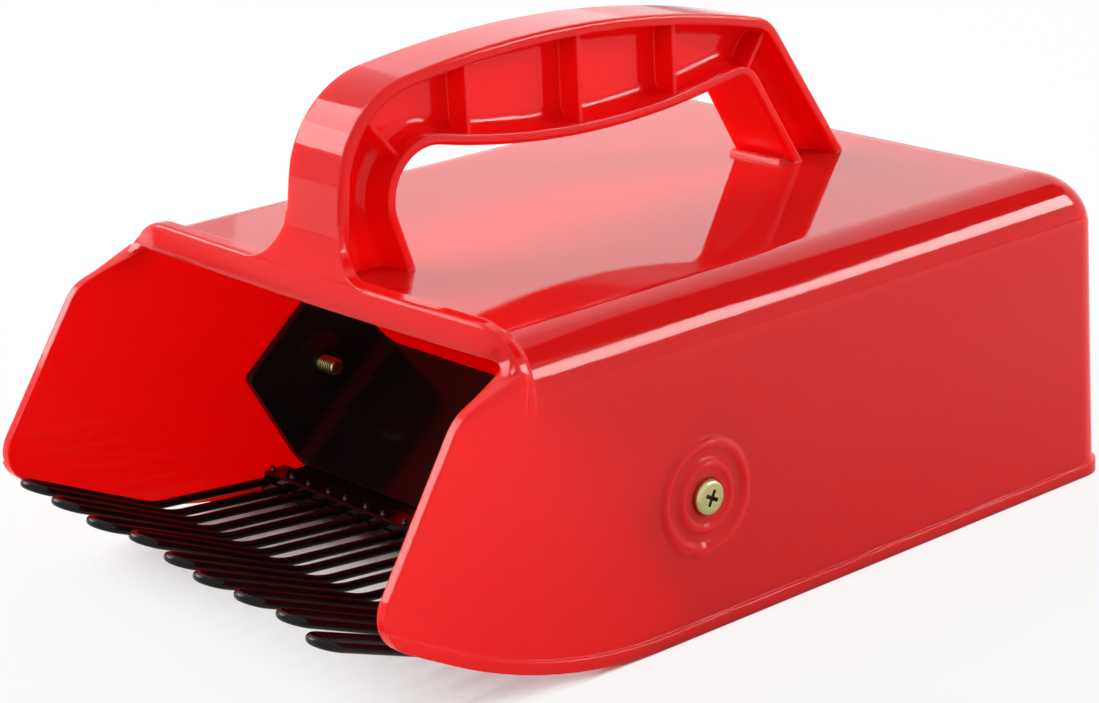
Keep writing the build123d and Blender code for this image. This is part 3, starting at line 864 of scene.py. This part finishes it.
@dataclass(frozen=True)
class SoftLamp:
    """Rectangular soft lamp that faces the object."""

    name: str
    turn: float
    rise: float
    distance: float
    width: float
    height: float
    power: float
    aim: Triple = (0.0, 0.0, 0.06)
    mirrored: bool = True

    def make(self) -> None:
        """Hangs the lamp in its direction."""
        data = bpy.data.lights.new(self.name, "AREA")
        data.shape = "RECTANGLE"
        data.size = self.width
        data.size_y = self.height
        data.energy = self.power
        lamp = bpy.data.objects.new(self.name, data)
        way = direction(self.turn, self.rise)
        lamp.location = Vector(self.aim) + way * self.distance
        lamp.rotation_mode = "QUATERNION"
        lamp.rotation_quaternion = (-way).to_track_quat("-Z", "Y")
        lamp.visible_camera = False
        lamp.visible_glossy = self.mirrored
        bpy.context.scene.collection.objects.link(lamp)
        LOG.info("hung %s", self.name)


LAMPS = (
    SoftLamp("key_lamp_low", turn=212.0, rise=23.0, distance=1.6, width=0.95, height=0.35, power=9.0),
    SoftLamp("key_lamp_middle", turn=212.0, rise=35.0, distance=1.6, width=0.95, height=0.33, power=6.2),
    SoftLamp("key_lamp_high", turn=212.0, rise=49.0, distance=1.6, width=0.95, height=0.45, power=4.6),
    SoftLamp("back_panel", turn=122.0, rise=28.0, distance=1.8, width=1.7, height=1.4, power=3.4),
    SoftLamp(
        "left_lamp",
        turn=178.0,
        rise=13.0,
        distance=1.5,
        width=0.9,
        height=0.5,
        power=7.5,
        mirrored=False,
    ),
    SoftLamp("side_lamp", turn=50.0, rise=26.0, distance=1.5, width=0.65, height=0.36, power=12.0),
)

# Corners of a sheet about its middle, in order round it
CORNER_SIDES = ((-1, -1), (1, -1), (1, 1), (-1, 1))


@dataclass
class Studio:
    """White floor, soft lamps, white surroundings and the photograph's camera."""

    floor_size: float = 8.0
    floor_gap: float = 0.1 * MM
    floor_glow: float = 0.86
    floor_mirrored: float = 0.2
    floor_grey: float = 0.95
    shade_reach: float = 0.09
    shade_from: float = 0.3
    shade_to: float = 0.5
    ambient: float = 0.3
    card_way: tuple[float, float] = (67.0, 45.0)
    card_distance: float = 1.2
    card_width: float = 0.64
    card_height: float = 0.5
    card_grey: float = 0.02
    eye: Triple = (0.4823, -0.413836, 0.2502)
    right: Triple = (0.6597, 0.7503, -0.0411)
    down: Triple = (0.2077, -0.2348, -0.9495)
    lens: float = 93.82
    sensor: float = 36.0
    clip_start: float = 10.0 * MM

    def build(self) -> None:
        """Makes every part of the studio."""
        self._floor()
        self._world()
        for lamp in LAMPS:
            lamp.make()
        self._card()
        self._camera()

    def _floor(self) -> None:
        """Makes the floor, white with the object's shadow, which is full where the object covers it."""
        material, board = new_material("white_floor")
        grey = (self.floor_grey, self.floor_grey, self.floor_grey, 1.0)
        paper = board.add("ShaderNodeBsdfDiffuse", None, {"Color": grey})
        white = board.add("ShaderNodeEmission", None, {"Color": WHITE, "Strength": 1.0})
        near = {"Distance": self.shade_reach}
        sky = board.add("ShaderNodeAmbientOcclusion", {"samples": SHADE_SAMPLES}, near, "AO")
        open_floor = board.ramp(sky, ((self.shade_from, 0.0), (self.shade_to, 1.0)))
        share = self._shown(board, self.floor_mirrored) * open_floor * self.floor_glow
        both = board.add("ShaderNodeMixShader", None, {0: share, 1: paper, 2: white})
        board.add("ShaderNodeOutputMaterial", None, {"Surface": both})
        half = self.floor_size / 2
        corners = [Vector((half * x, half * y, -self.floor_gap)) for x, y in CORNER_SIDES]
        floor = sheet("floor", corners, material)

    def _card(self) -> None:
        """Hangs the black card that keeps the roof's near edge dark above its bright stripe."""
        material, board = new_material("black_felt")
        grey = (self.card_grey, self.card_grey, self.card_grey, 1.0)
        felt = board.add("ShaderNodeBsdfDiffuse", None, {"Color": grey})
        board.add("ShaderNodeOutputMaterial", None, {"Surface": felt})
        way = direction(*self.card_way)
        across = Vector((0.0, 0.0, 1.0)).cross(way).normalized() * (self.card_width / 2)
        along = way.cross(across).normalized() * (self.card_height / 2)
        middle = way * self.card_distance
        corners = [middle + across * x + along * y for x, y in CORNER_SIDES]
        card = sheet("black_card", corners, material)
        card.visible_camera = False
        card.visible_shadow = False
        card.visible_diffuse = False

    def _world(self) -> None:
        """Makes the white surroundings: full white where they are seen or mirrored, softer as light."""
        world = bpy.data.worlds.new("white_room")
        world.use_nodes = True
        bpy.context.scene.world = world
        board = Board(world.node_tree)
        strength = self._shown(board, 1.0) * (1.0 - self.ambient) + self.ambient
        white = board.add("ShaderNodeBackground", None, {"Color": WHITE, "Strength": strength})
        board.add("ShaderNodeOutputWorld", None, {"Surface": white})

    @staticmethod
    def _shown(board: Board, mirrored_share: float) -> Link:
        """1 for rays that show the surroundings, 0 for rays that only carry their light.

        Args:
            board: Board that gets the nodes.
            mirrored_share: What a mirrored or transmitted view shows of the full white.

        Returns:
            The mask.
        """
        seen = board.add("ShaderNodeLightPath", output="Is Camera Ray")
        mirrored = board.add("ShaderNodeLightPath", output="Is Glossy Ray")
        through = board.add("ShaderNodeLightPath", output="Is Transmission Ray")
        return seen.at_least(mirrored.at_least(through) * mirrored_share)

    def _camera(self) -> None:
        """Makes the camera at the photograph's place."""
        data = bpy.data.cameras.new("photo_camera")
        data.sensor_width = self.sensor
        data.lens = self.lens
        data.clip_start = self.clip_start
        camera = bpy.data.objects.new("photo_camera", data)
        right = Vector(self.right).normalized()
        back = right.cross(-Vector(self.down)).normalized()
        up = back.cross(right)
        turn = Matrix((right, up, back)).transposed().to_4x4()
        camera.matrix_world = Matrix.Translation(Vector(self.eye)) @ turn
        bpy.context.scene.collection.objects.link(camera)
        bpy.context.scene.camera = camera


def main() -> None:
    """Builds the pieces in order."""
    logging.basicConfig(level=logging.INFO)
    bpy.context.scene.view_settings.view_transform = "Standard"
    for part in (Shell(), Comb(), Gate(), Studio()):
        part.build()
        LOG.info("built %s", type(part).__name__)


if __name__ == "__main__":
    main()
